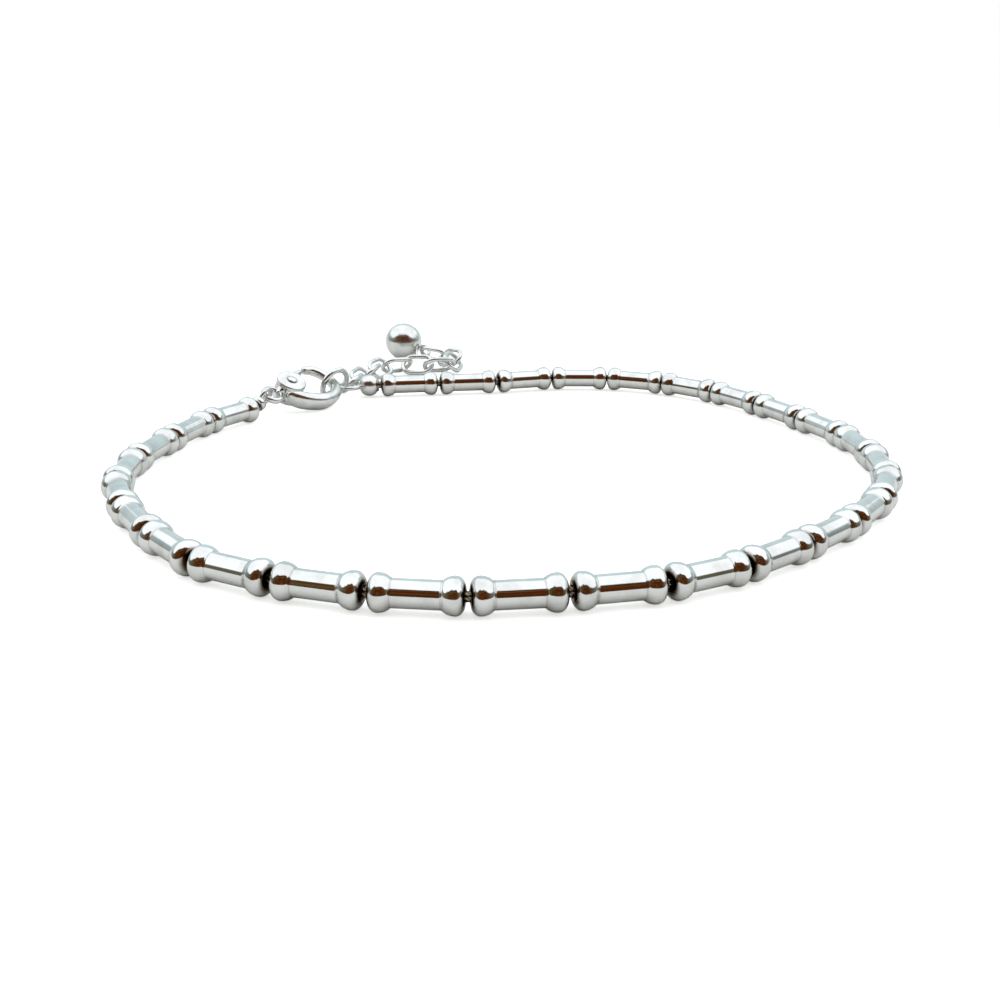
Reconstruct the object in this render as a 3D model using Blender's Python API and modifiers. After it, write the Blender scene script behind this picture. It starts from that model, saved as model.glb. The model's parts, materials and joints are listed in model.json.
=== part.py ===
"""A bracelet of turned silver bone beads on a wire, fastened by a lobster clasp, lying flat.

Metres, +Z up, the surface it lies on at z = 0. The string, the clasp and the extension chain
are laid out in plan first, and the whole bracelet is then centred on the origin.
"""
import math

import bmesh
import bpy
import numpy as np
from mathutils import Matrix, Vector

# Bead: a tube with a rounded collar at each end
BEAD_LENGTH = 0.0060
BEAD_GAP = 0.0003
TUBE_RADIUS = 0.000955
COLLAR_RADIUS = 0.001300
COLLAR_WIDTH = 0.00147
COLLAR_BAND = 0.00026
COLLAR_ROUNDING = 0.00052
FACE_RADIUS = 0.00066
BORE_RADIUS = 0.00055
BEAD_SIDES = 12

# Wire through the beads, and how deep its ends sit in the end fittings. Each fitting's gap is
# measured from the last joint of the string to the fitting's own face.
WIRE_RADIUS = 0.00025
WIRE_DEPTH = 0.00018
SEAT_GAP = 0.00030

# End fittings: a small crimp with an upright loop on the clasp's side, and on the other side
# a round cap with a larger loop that lies flat
CRIMP_GAP = 0.00040
CRIMP_RADIUS = 0.00078
CRIMP_LENGTH = 0.00075
CRIMP_LOOP_RADIUS = 0.00082
CAP_GAP = BEAD_GAP / 2
CAP_RADIUS = 0.00116
CAP_LENGTH = 0.00200
CAP_LOOP_RADIUS = 0.00130
LOOP_WIRE_RADIUS = 0.000225
LOOP_SINK = 0.00012

# Clasp, measured from its eye to the middle of its nose
EYE_RADIUS = 0.00090
EYE_WIRE_RADIUS = 0.00030
CLASP_REACH = 0.00780
CLASP_HALF_WIDTH = 0.00235
CLASP_TILT = math.radians(30.0)
CLASP_HEADING = math.radians(50.3)
HEAD_RADIUS = 0.00150
HEAD_THICKNESS = 0.00230
HEAD_SOFTNESS = 0.3
ARM_RADIUS = 0.00078
ARM_LIFT = 0.00090
HOOK_DEPTH = 1.40
NOSE_SHARE = 0.71
LEVER_RADIUS = 0.00039
LEVER_SLOT = 0.00138
RIVET_RADIUS = 0.00028

# End ring that the clasp holds, and the extension chain with its drop
RING_RADIUS = 0.00160
RING_WIRE_RADIUS = 0.00030
RING_TILT = math.radians(-70.0)
LINK_LENGTH = 0.0040
LINK_WIDTH = 0.0028
LINK_WIRE_RADIUS = 0.000275
LINK_ROLL = math.radians(45.0)
LINK_COUNT = 10
DROP_RADIUS = 0.00220
DROP_EYE_RADIUS = 0.00082

# Facets: around turned pieces, along a link, around a link's wire and around the other wires
ROUND_SIDES = 12
RING_SEGMENTS = 14
LINK_SIDES = 6
ARM_SIDES = 8
DROP_ROWS = 9

SILVER_COLOUR = (0.86, 0.87, 0.86)
WIRE_COLOUR = (0.60, 0.60, 0.58)

# Joints between the beads as the string lies, x and y, from the round cap to the crimp
STRING_ROUTE = (
    (-0.01296, 0.03719), (-0.00677, 0.03837), (-0.00056, 0.03946), (0.00541, 0.04146),
    (0.01168, 0.04168), (0.01763, 0.03970), (0.02255, 0.03586), (0.02617, 0.03070),
    (0.02908, 0.02511), (0.03146, 0.01927), (0.03221, 0.01302), (0.03155, 0.00675),
    (0.02909, 0.00095), (0.02538, -0.00414), (0.02092, -0.00858), (0.01608, -0.01261),
    (0.01055, -0.01565), (0.00442, -0.01711), (-0.00182, -0.01802), (-0.00809, -0.01749),
    (-0.01415, -0.01578), (-0.01976, -0.01291), (-0.02392, -0.00818), (-0.02743, -0.00295),
    (-0.02989, 0.00285), (-0.03038, 0.00913), (-0.02926, 0.01533), (-0.02746, 0.02137),
    (-0.02412, 0.02671),
)

# Path of the extension chain from the cap's loop, offsets in x and y from where it starts
CHAIN_ROUTE = (
    (0.0, 0.0), (0.0006, 0.0026), (0.0015, 0.0051), (0.0020, 0.0077), (0.0032, 0.0099),
    (0.0055, 0.0112), (0.0080, 0.0106), (0.0102, 0.0113), (0.0110, 0.0134), (0.0105, 0.0154),
    (0.0088, 0.0164),
)

# Centre lines of the clasp's hook and lever: shares of the way from the head's middle to the
# nose, of the half width and of the wire's radius. The hook is measured from the head's middle
# and the clasp's long axis, the lever from its rivet.
HOOK_ROUTE = (
    (-0.074, -0.45, 0.95), (0.173, -0.84, 1.0), (0.451, -1.0, 1.0), (0.754, -0.84, 0.86),
    (0.949, -0.44, 0.74), (1.0, 0.05, NOSE_SHARE), (0.945, 0.52, 0.70), (0.798, 0.90, 0.66),
    (0.598, 1.0, 0.58),
)
LEVER_ROUTE = ((0.0, 0.0, 1.0), (0.211, 0.46, 1.0), (0.365, 0.68, 0.96), (0.516, 0.76, 0.62))
RIVET_SIDE = 0.16

PITCH = BEAD_LENGTH + BEAD_GAP
AXIS_HEIGHT = COLLAR_RADIUS * math.cos(math.pi / BEAD_SIDES)
MERGE = 0.000001
SHARP_ANGLE = math.radians(38.0)


def clear_scene():
    for item in list(bpy.data.objects):
        bpy.data.objects.remove(item)


def new_collection(name):
    collection = bpy.data.collections.new(name)
    bpy.context.scene.collection.children.link(collection)
    return collection


def metal(name, colour, roughness):
    material = bpy.data.materials.new(name)
    material.use_nodes = True
    shader = material.node_tree.nodes["Principled BSDF"]
    shader.inputs["Base Color"].default_value = (*colour, 1.0)
    shader.inputs["Metallic"].default_value = 1.0
    shader.inputs["Roughness"].default_value = roughness
    return material


def mesh_of(item):
    """The evaluated mesh of an object, welded and shaded, with the object removed."""
    depsgraph = bpy.context.evaluated_depsgraph_get()
    mesh = bpy.data.meshes.new_from_object(item.evaluated_get(depsgraph))
    bpy.data.objects.remove(item)
    welder = bmesh.new()
    welder.from_mesh(mesh)
    bmesh.ops.remove_doubles(welder, verts=welder.verts, dist=MERGE)
    welder.to_mesh(mesh)
    welder.free()
    mesh.shade_smooth()
    mesh.set_sharp_from_angle(angle=SHARP_ANGLE)
    return mesh


def turned(name, profile, sides):
    """Turn a profile of (radius, height) pairs about Z, given down its outer side."""
    closed = profile[0][0] > 0.0
    count = len(profile)
    points = [(radius, 0.0, height) for radius, height in profile]
    edges = [(i, (i + 1) % count) for i in range(count if closed else count - 1)]
    outline = bpy.data.meshes.new(name)
    outline.from_pydata(points, edges, [])
    item = bpy.data.objects.new(name, outline)
    bpy.context.scene.collection.objects.link(item)
    screw = item.modifiers.new("turn", "SCREW")
    screw.steps = sides
    screw.render_steps = sides
    screw.use_merge_vertices = True
    screw.merge_threshold = MERGE
    return mesh_of(item)


def tube(name, points, radius, sides, swell=None, cyclic=False):
    """A round wire through points. swell scales the radius at each point."""
    curve = bpy.data.curves.new(name, "CURVE")
    curve.dimensions = "3D"
    curve.bevel_depth = radius
    curve.bevel_resolution = sides // 2 - 2
    curve.use_fill_caps = True
    spline = curve.splines.new("POLY")
    spline.points.add(len(points) - 1)
    spline.use_cyclic_u = cyclic
    for i, point in enumerate(points):
        spline.points[i].co = (*point, 1.0)
        spline.points[i].radius = swell[i] if swell else 1.0
    item = bpy.data.objects.new(name, curve)
    bpy.context.scene.collection.objects.link(item)
    return mesh_of(item)


def link_mesh(name, length, width, wire_radius):
    """A closed oval link in the XY plane, its long way along X. Equal sizes give a round ring."""
    reach = length / 2 - wire_radius
    bend = width / 2 - wire_radius
    straight = reach - bend
    points = []
    for i in range(RING_SEGMENTS):
        angle = 2 * math.pi * (i + 0.5) / RING_SEGMENTS
        side = math.copysign(straight, math.cos(angle))
        points.append((side + bend * math.cos(angle), bend * math.sin(angle), 0.0))
    return tube(name, points, wire_radius, LINK_SIDES, cyclic=True)


def ring_mesh(name, radius, wire_radius):
    across = 2 * (radius + wire_radius)
    return link_mesh(name, across, across, wire_radius)


def smooth_path(points, per_span):
    """Points along a Catmull-Rom curve through the given ones."""
    knots = np.array(points, float)
    padded = np.vstack([2 * knots[0] - knots[1], knots, 2 * knots[-1] - knots[-2]])
    path = []
    for i in range(len(knots) - 1):
        a, b, c, d = padded[i:i + 4]
        for step in range(per_span):
            t = step / per_span
            path.append(0.5 * (2 * b + (c - a) * t + (2 * a - 5 * b + 4 * c - d) * t * t
                               + (3 * b - a - 3 * c + d) * t ** 3))
    path.append(knots[-1])
    return np.array(path)


def walk(points, step, count):
    """Joints a fixed chord apart along a path, which runs straight on past its end."""
    path = smooth_path(points, per_span=20)
    onward = path[-1] - path[-2]
    path = np.vstack([path, path[-1] + onward / np.linalg.norm(onward) * step * count])
    joints = [path[0]]
    i = 0
    while len(joints) <= count:
        while np.linalg.norm(path[i + 1] - joints[-1]) < step:
            i += 1
        start, run = path[i], path[i + 1] - path[i]
        offset = start - joints[-1]
        a, b, c = run @ run, 2 * (offset @ run), offset @ offset - step * step
        t = (-b + math.sqrt(max(b * b - 4 * a * c, 0.0))) / (2 * a)
        joints.append(start + t * run)
    return joints


def placed(point, heading=0.0, tilt=0.0):
    """A frame at a point: X along the heading, Y to its left and raised by the tilt."""
    turn = Matrix.Rotation(heading, 4, "Z") @ Matrix.Rotation(tilt, 4, "X")
    return Matrix.Translation(Vector(point)) @ turn


def along(axis, side, point):
    """A frame at a point with X along the axis and Y as near as it can be to the side."""
    x = Vector(axis).normalized()
    z = x.cross(Vector(side)).normalized()
    y = z.cross(x)
    turn = Matrix((x, y, z)).transposed().to_4x4()
    return Matrix.Translation(Vector(point)) @ turn


def heading_of(start, end):
    return math.atan2(end[1] - start[1], end[0] - start[0])


def add(name, mesh, material, matrix, parent, collection):
    item = bpy.data.objects.new(name, mesh)
    collection.objects.link(item)
    if not mesh.materials:
        mesh.materials.append(material)
    item.parent = parent
    item.matrix_basis = matrix
    return item


def shape(item, mesh, operation, matrix, tools):
    """Join a mesh to an item, or cut it away, with the item's own frame as the mesh's frame."""
    tool = bpy.data.objects.new(f"{item.name}_{operation.lower()}", mesh)
    tools.objects.link(tool)
    tool.parent = item
    tool.matrix_basis = matrix
    tool.hide_render = True
    tool.display_type = "WIRE"
    boolean = item.modifiers.new(operation.lower(), "BOOLEAN")
    boolean.operation = operation
    boolean.solver = "EXACT"
    boolean.object = tool


def bead_mesh():
    """Half a bead's profile from its face to its middle, mirrored, closed through the bore."""
    inner = COLLAR_WIDTH - COLLAR_BAND - COLLAR_ROUNDING
    half = []
    for angle in (0.0, math.pi / 5, math.pi / 2):
        out = (COLLAR_RADIUS - FACE_RADIUS) * math.sin(angle)
        half.append((FACE_RADIUS + out, COLLAR_ROUNDING * (1 - math.cos(angle))))
    for angle in (math.pi / 2, math.pi / 6, 0.0):
        out = (COLLAR_RADIUS - TUBE_RADIUS) * math.sin(angle)
        half.append((TUBE_RADIUS + out, COLLAR_WIDTH - inner * (1 - math.cos(angle))))
    end = BEAD_LENGTH / 2
    upper = [(radius, end - depth) for radius, depth in half]
    lower = [(radius, depth - end) for radius, depth in reversed(half)]
    bore = [(BORE_RADIUS, -end), (BORE_RADIUS, end)]
    return turned("bead", upper + lower + bore, BEAD_SIDES)


def fitting_mesh(name, radius, length):
    """A barrel with a blind bore for the wire in its lower end, turned about Z."""
    end_radius = BORE_RADIUS + SEAT_GAP / 2
    profile = [(0.0, length / 2)]
    for i in range(7):
        share = 1 - i / 3
        width = math.sqrt(radius ** 2 - (radius ** 2 - end_radius ** 2) * share ** 2)
        profile.append((width, share * length / 2))
    depth = WIRE_DEPTH + SEAT_GAP
    profile += [(BORE_RADIUS, -length / 2), (BORE_RADIUS, depth - length / 2)]
    profile.append((0.0, depth - length / 2))
    return turned(name, profile, ROUND_SIDES)


def loop_reach(sizes):
    """From the last joint of the string to the centre of its end fitting's loop."""
    gap, _, length, loop_radius = sizes
    return gap + length + loop_radius - LOOP_SINK


def end_fitting(name, sizes, joint, outward, loop_side, silver, root, kept, tools):
    """A fitting at the end of the string, with a loop beyond it."""
    gap, radius, length, loop_radius = sizes
    centre = joint + outward * (gap + length / 2)
    upright = outward.to_track_quat("Z", "X").to_matrix().to_4x4()
    frame = Matrix.Translation(centre) @ upright
    item = add(name, fitting_mesh(name, radius, length), silver, frame, root, kept)
    loop_centre = joint + outward * loop_reach(sizes)
    ring = ring_mesh(name + "_loop", loop_radius, LOOP_WIRE_RADIUS)
    ring_frame = along(outward, loop_side, loop_centre)
    shape(item, ring, "UNION", frame.inverted() @ ring_frame, tools)


def swelling_arm(name, route, per_span, start, radius):
    """A rod of changing thickness along a route of shares, from a point on the long axis."""
    way = CLASP_REACH - HEAD_RADIUS - EYE_RADIUS
    path = smooth_path(route, per_span)
    points = [(start + x * way, y * CLASP_HALF_WIDTH, 0.0) for x, y, _ in path]
    return tube(name, points, radius, ARM_SIDES, swell=[float(share) for share in path[:, 2]])


def hook_mesh():
    """The rigid hook of the clasp: from its head along the near side, round the nose and back.

    It is deeper than it is wide, less so towards the nose.
    """
    mesh = swelling_arm("hook", HOOK_ROUTE, 2, EYE_RADIUS + HEAD_RADIUS, ARM_RADIUS)
    for vertex in mesh.vertices:
        vertex.co.z *= 1 + (HOOK_DEPTH - 1) * (1 - vertex.co.x / CLASP_REACH)
    return mesh


def lever_pivot():
    """Centre of the lever's rivet in the clasp's frame."""
    return Vector((EYE_RADIUS + HEAD_RADIUS, RIVET_SIDE * CLASP_HALF_WIDTH, 0.0))


def lever_meshes():
    """The lever's arm and its barrel with the rivet, about the rivet's centre."""
    arm = swelling_arm("lever_arm", LEVER_ROUTE, 3, 0.0, LEVER_RADIUS)
    half = LEVER_SLOT / 2 - SEAT_GAP
    radius = RIVET_RADIUS + SEAT_GAP
    pin = HEAD_THICKNESS / 2
    barrel = [(0.0, pin), (RIVET_RADIUS, pin), (RIVET_RADIUS, half), (radius, half),
              (radius, -half), (RIVET_RADIUS, -half), (RIVET_RADIUS, -pin), (0.0, -pin)]
    return arm, turned("lever_barrel", barrel, ROUND_SIDES)


def cylinder(name, radius, height, sides):
    return turned(name, [(0.0, height / 2), (radius, height / 2), (radius, -height / 2),
                         (0.0, -height / 2)], sides)


def head_mesh():
    """The clasp's flat round head with softened rims."""
    half = HEAD_THICKNESS / 2
    soft = HEAD_SOFTNESS * half
    return turned("head", [(0.0, half), (HEAD_RADIUS - soft, half), (HEAD_RADIUS, half - soft),
                           (HEAD_RADIUS, soft - half), (HEAD_RADIUS - soft, -half),
                           (0.0, -half)], ROUND_SIDES)


def slot_mesh():
    """The space for the lever, open towards the nose and the far side."""
    pivot = lever_pivot()
    behind = RIVET_RADIUS + 2 * SEAT_GAP
    maker = bmesh.new()
    bmesh.ops.create_cube(maker, size=1.0)
    size = Vector((HEAD_RADIUS + behind + LEVER_RADIUS, 2 * HEAD_RADIUS, LEVER_SLOT))
    centre = Vector((pivot.x - behind + size.x / 2, pivot.y - behind + size.y / 2, 0.0))
    bmesh.ops.scale(maker, vec=size, verts=maker.verts)
    bmesh.ops.translate(maker, vec=centre, verts=maker.verts)
    mesh = bpy.data.meshes.new("slot")
    maker.to_mesh(mesh)
    maker.free()
    return mesh


def build_clasp(frame, silver, root, kept, tools):
    pivot = lever_pivot()
    clasp = add("clasp", hook_mesh(), silver, frame, root, kept)
    shape(clasp, head_mesh(), "UNION", Matrix.Translation(pivot), tools)
    shape(clasp, ring_mesh("eye", EYE_RADIUS, EYE_WIRE_RADIUS), "UNION", Matrix(), tools)
    shape(clasp, slot_mesh(), "DIFFERENCE", Matrix(), tools)
    rivet_hole = cylinder("rivet_hole", RIVET_RADIUS + SEAT_GAP, 2 * HEAD_THICKNESS, ROUND_SIDES)
    shape(clasp, rivet_hole, "DIFFERENCE", Matrix.Translation(pivot), tools)
    arm, barrel = lever_meshes()
    lever_frame = frame @ Matrix.Translation(pivot)
    lever = add("clasp_lever", arm, silver, lever_frame, root, kept)
    shape(lever, barrel, "UNION", Matrix(), tools)


def build_string(joints, silver, root, kept):
    """Beads centred between their joints, each turned so that a flat of its collars is down."""
    mesh = bead_mesh()
    flat_down = Matrix.Rotation(math.pi / 2, 4, "Y") @ Matrix.Rotation(math.pi / BEAD_SIDES, 4, "Z")
    for i in range(len(joints) - 1):
        start, end = joints[i], joints[i + 1]
        middle = (*(0.5 * (start + end)), AXIS_HEIGHT)
        frame = placed(middle, heading_of(start, end)) @ flat_down
        add(f"bead_{i + 1:02d}", mesh, silver, frame, root, kept)


def build_wire(joints, cap_out, crimp_out, steel, root, kept):
    """The wire, straight through each bead and on into both end fittings."""
    points = [Vector((*joint, AXIS_HEIGHT)) for joint in joints]
    points = [points[0] + cap_out * (CAP_GAP + WIRE_DEPTH), *points,
              points[-1] + crimp_out * (CRIMP_GAP + WIRE_DEPTH)]
    mesh = tube("string_wire", points, WIRE_RADIUS, ARM_SIDES)
    add("string_wire", mesh, steel, Matrix(), root, kept)


def build_chain(loop_bar, way, silver, root, kept, tools):
    """Oval links rolled to either side in turn, from a bar that the first one holds, and a drop
    held by the last one."""
    bar_offset = LINK_WIRE_RADIUS + SEAT_GAP / 2
    pitch = LINK_LENGTH - 2 * LINK_WIRE_RADIUS - 2 * bar_offset
    held = LOOP_WIRE_RADIUS + SEAT_GAP + LINK_WIRE_RADIUS - bar_offset
    start = np.array(loop_bar[:2]) - held * np.array(way[:2])
    joints = walk([start + np.array(p) for p in CHAIN_ROUTE], pitch, LINK_COUNT)
    bend = LINK_WIDTH / 2 - LINK_WIRE_RADIUS
    roll = LINK_ROLL
    height = LINK_WIRE_RADIUS + bend * math.sin(roll)
    mesh = link_mesh("chain_link", LINK_LENGTH, LINK_WIDTH, LINK_WIRE_RADIUS)
    for i in range(LINK_COUNT):
        middle = (*(0.5 * (joints[i] + joints[i + 1])), height)
        roll = -roll
        frame = placed(middle, heading_of(joints[i], joints[i + 1]), roll)
        add(f"chain_link_{i + 1:02d}", mesh, silver, frame, root, kept)

    outward = frame.to_3x3().col[0]
    eye_reach = DROP_RADIUS + DROP_EYE_RADIUS - LOOP_SINK
    rise = math.asin((DROP_RADIUS - height) / (eye_reach + DROP_EYE_RADIUS - held))
    outward = Vector((*(outward.xy * math.cos(rise)), math.sin(rise)))
    bar = Vector((*joints[-1], height)) - outward * held
    eye_centre = bar + outward * DROP_EYE_RADIUS
    centre = eye_centre + outward * eye_reach
    turns = [math.pi * i / DROP_ROWS for i in range(1, DROP_ROWS)]
    profile = [(DROP_RADIUS * math.sin(turn), DROP_RADIUS * math.cos(turn)) for turn in turns]
    profile = [(0.0, DROP_RADIUS), *profile, (0.0, -DROP_RADIUS)]
    drop = add("chain_drop", turned("chain_drop", profile, ROUND_SIDES), silver,
               Matrix.Translation(centre), root, kept)
    eye_side = frame.to_3x3().col[2]
    eye_frame = along(outward, eye_side, eye_centre)
    shape(drop, ring_mesh("drop_eye", DROP_EYE_RADIUS, LOOP_WIRE_RADIUS), "UNION",
          Matrix.Translation(-centre) @ eye_frame, tools)


def string_joints(crimp_joint):
    """The route's joints, drawn to the bead pitch, with both ends kept where they fasten."""
    route = [np.array(p) for p in STRING_ROUTE]
    steps = [np.linalg.norm(b - a) for a, b in zip(route, route[1:])]
    scale = PITCH / (sum(steps) / len(steps))
    drawn = [route[0] + scale * (p - route[0]) for p in route]
    slack = crimp_joint - drawn[-1]
    return [p + slack * i / (len(route) - 1) for i, p in enumerate(drawn)]


def centre_on_origin(root, kept):
    """Move the bracelet so that the middle of its box is over the origin."""
    bpy.context.view_layer.update()
    depsgraph = bpy.context.evaluated_depsgraph_get()
    corners = []
    for item in kept.objects:
        if item.type == "MESH":
            solid = item.evaluated_get(depsgraph)
            mesh = solid.to_mesh()
            points = np.empty(len(mesh.vertices) * 3)
            mesh.vertices.foreach_get("co", points)
            matrix = np.array(item.matrix_world)
            world = points.reshape(-1, 3) @ matrix[:3, :3].T + matrix[:3, 3]
            corners += [world.min(axis=0), world.max(axis=0)]
            solid.to_mesh_clear()
    low, high = np.min(corners, axis=0), np.max(corners, axis=0)
    root.location = (-(low[0] + high[0]) / 2, -(low[1] + high[1]) / 2, -low[2])
    bpy.context.view_layer.update()


def main():
    clear_scene()
    kept = new_collection("beaded_bracelet")
    tools = new_collection("cutters")
    silver = metal("polished_silver", SILVER_COLOUR, 0.12)
    steel = metal("stringing_wire", WIRE_COLOUR, 0.25)
    root = bpy.data.objects.new("bracelet", None)
    kept.objects.link(root)

    cap = (CAP_GAP, CAP_RADIUS, CAP_LENGTH, CAP_LOOP_RADIUS)
    crimp = (CRIMP_GAP, CRIMP_RADIUS, CRIMP_LENGTH, CRIMP_LOOP_RADIUS)
    cap_joint = Vector((*STRING_ROUTE[0], AXIS_HEIGHT))
    cap_out = (cap_joint - Vector((*STRING_ROUTE[1], AXIS_HEIGHT))).normalized()
    cap_loop = cap_joint + cap_out * loop_reach(cap)
    beside_cap = Vector((cap_out.y, -cap_out.x, 0.0))

    ring_turn = placed((0.0, 0.0, 0.0), CLASP_HEADING, RING_TILT)
    ring_height = RING_WIRE_RADIUS + RING_RADIUS * abs(math.sin(RING_TILT))
    held = LOOP_WIRE_RADIUS + SEAT_GAP + RING_WIRE_RADIUS
    in_loop = cap_loop + cap_out * (CAP_LOOP_RADIUS - held)
    ring_angle = math.asin((in_loop.z - ring_height) / (RING_RADIUS * math.sin(RING_TILT)))
    to_loop = ring_turn.to_3x3() @ Vector((math.cos(ring_angle), math.sin(ring_angle), 0.0))
    ring_centre = in_loop - to_loop * RING_RADIUS

    clasp_height = CLASP_HALF_WIDTH * math.sin(CLASP_TILT) + ARM_LIFT
    clasp_way = Vector((math.cos(CLASP_HEADING), math.sin(CLASP_HEADING), 0.0))
    nose_to_ring = NOSE_SHARE * ARM_RADIUS + SEAT_GAP + RING_WIRE_RADIUS
    eye_centre = ring_centre - clasp_way * (RING_RADIUS + CLASP_REACH - nose_to_ring)
    eye_centre.z = clasp_height
    eye_bar = eye_centre - clasp_way * EYE_RADIUS
    crimp_way = Vector(STRING_ROUTE[-1]) - Vector(STRING_ROUTE[-2])
    rise = math.asin((clasp_height - AXIS_HEIGHT) / loop_reach(crimp))
    crimp_out = Vector((*(crimp_way.normalized() * math.cos(rise)), math.sin(rise)))
    crimp_joint = eye_bar - crimp_out * loop_reach(crimp)

    joints = string_joints(np.array(crimp_joint[:2]))
    build_string(joints, silver, root, kept)
    build_wire(joints, cap_out, crimp_out, steel, root, kept)
    end_fitting("end_cap", cap, cap_joint, cap_out, beside_cap, silver, root, kept, tools)
    clasp_frame = placed(eye_centre, CLASP_HEADING, CLASP_TILT)
    eye_tangent = clasp_frame.to_3x3().col[1]
    end_fitting("end_crimp", crimp, crimp_joint, crimp_out, eye_tangent.cross(crimp_out),
                silver, root, kept, tools)
    build_clasp(clasp_frame, silver, root, kept, tools)
    ring_frame = Matrix.Translation(ring_centre) @ ring_turn
    add("end_ring", ring_mesh("end_ring", RING_RADIUS, RING_WIRE_RADIUS), silver, ring_frame,
        root, kept)
    build_chain(cap_loop + beside_cap * CAP_LOOP_RADIUS, beside_cap, silver, root, kept, tools)
    centre_on_origin(root, kept)


main()
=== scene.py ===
import json
import math

import bpy
import numpy as np
from mathutils import Matrix


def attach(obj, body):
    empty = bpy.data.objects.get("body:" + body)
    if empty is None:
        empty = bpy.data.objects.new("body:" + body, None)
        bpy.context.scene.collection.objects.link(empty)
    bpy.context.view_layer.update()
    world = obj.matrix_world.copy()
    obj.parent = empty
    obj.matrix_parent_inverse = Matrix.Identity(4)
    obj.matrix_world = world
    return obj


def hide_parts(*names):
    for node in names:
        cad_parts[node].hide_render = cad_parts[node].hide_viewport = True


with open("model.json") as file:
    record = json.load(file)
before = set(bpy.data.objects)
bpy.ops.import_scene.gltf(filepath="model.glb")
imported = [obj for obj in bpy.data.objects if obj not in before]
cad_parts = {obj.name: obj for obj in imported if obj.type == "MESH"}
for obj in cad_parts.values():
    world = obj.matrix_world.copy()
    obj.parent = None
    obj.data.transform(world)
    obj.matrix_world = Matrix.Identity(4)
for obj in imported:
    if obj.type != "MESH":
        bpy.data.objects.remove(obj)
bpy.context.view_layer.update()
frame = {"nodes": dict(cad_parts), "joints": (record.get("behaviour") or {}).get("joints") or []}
print("packed bracelet loaded:", len(frame["nodes"]), "nodes")

mm = 0.001
upward = np.array([0.0, 0.0, 1.0])

cameraView = dict(
    lookAt=(-0.855, -19.629, 1.256),   # mm, a point on the beads' centre plane
    distance=85.89,                    # mm from that point
    elevation=19.05,                   # degrees above the surface
    roll=0.686,                        # degrees, the horizon leans by this much
    lens=40.83,                        # mm
    sensor=36.0,
    nearest=0.002,                     # metres, what the camera can see from and to
    farthest=10.0,
)

studio = dict(
    ceilingFrom=((0.0, 57.0), (0.20, 54.0), (0.37, 25.0), (0.50, 20.0), (0.66, 21.0), (0.80, 27.0),
                 (0.92, 38.0), (1.0, 49.0)),   # degrees up, by share of the way round to the back
    ceilingSoftness=3.0,               # degrees
    ceilingRagged=24.0,                # degrees, how far noise moves the ceiling's edge
    noiseScale=5.0,
    ceilingColour=(0.93, 0.95, 1.0),
    ceilingStrength=1.42,
    # Light below the ceiling, by share of the way round
    lowLight=((0.26, (0.10, 0.070, 0.030)), (0.42, (0.16, 0.15, 0.115)), (0.56, (0.27, 0.30, 0.31)),
              (0.70, (0.62, 0.72, 0.75)), (1.0, (0.74, 0.88, 0.93))),
    # The dark room on the camera's side, by noise, and the shares of the way round between
    # which it gives way to the low light
    room=((0.47, (0.090, 0.014, 0.003)), (0.57, (0.10, 0.050, 0.010)), (0.70, (0.22, 0.160, 0.075))),
    roomEnds=(0.18, 0.34),
    floorColour=(0.86, 0.86, 0.82),
    floorFill=0.62,                    # what the camera sees on top of the lit floor
    floorRadius=2.4,                   # metres
    floorGrain=90.0,                   # noise cells per metre
    floorUneven=1.02,
)


def placeCamera(view):
    # The camera stands back from the look-at point by the distance, raised by the elevation,
    # and is turned about its own line of sight by the roll.
    tip = math.radians(view["elevation"])
    lean = math.radians(view["roll"])
    forward = np.array([0.0, math.cos(tip), -math.sin(tip)])
    up = np.array([0.0, math.sin(tip), math.cos(tip)])
    right = np.array([1.0, 0.0, 0.0])
    leanRight = math.cos(lean) * right + math.sin(lean) * up
    leanUp = math.cos(lean) * up - math.sin(lean) * right
    place = (np.array(view["lookAt"]) - forward * view["distance"]) * mm
    lensData = bpy.data.cameras.new("studioCamera")
    lensData.lens = view["lens"]
    lensData.sensor_width = view["sensor"]
    lensData.clip_start = view["nearest"]
    lensData.clip_end = view["farthest"]
    camera = bpy.data.objects.new("studioCamera", lensData)
    bpy.context.scene.collection.objects.link(camera)
    matrix = np.eye(4)
    matrix[:3, 0], matrix[:3, 1], matrix[:3, 2], matrix[:3, 3] = leanRight, leanUp, -forward, place
    camera.matrix_world = Matrix(matrix.tolist())
    bpy.context.scene.camera = camera


def addNode(tree, kind, inputs=None, **settings):
    # Inputs are values or other nodes' outputs, by socket name or number.
    node = tree.nodes.new(kind)
    for name, value in settings.items():
        setattr(node, name, value)
    for name, value in (inputs or {}).items():
        if hasattr(value, "is_output"):
            tree.links.new(value, node.inputs[name])
        else:
            node.inputs[name].default_value = value
    return node


def addRamp(tree, factor, stops):
    # Stops are pairs of a position and a colour.
    node = addNode(tree, "ShaderNodeValToRGB", {"Fac": factor})
    bar = node.color_ramp
    bar.elements[0].position, bar.elements[0].color = stops[0][0], (*stops[0][1], 1.0)
    bar.elements[1].position, bar.elements[1].color = stops[-1][0], (*stops[-1][1], 1.0)
    for position, colour in stops[1:-1]:
        bar.elements.new(position).color = (*colour, 1.0)
    return node.outputs["Color"]


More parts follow.
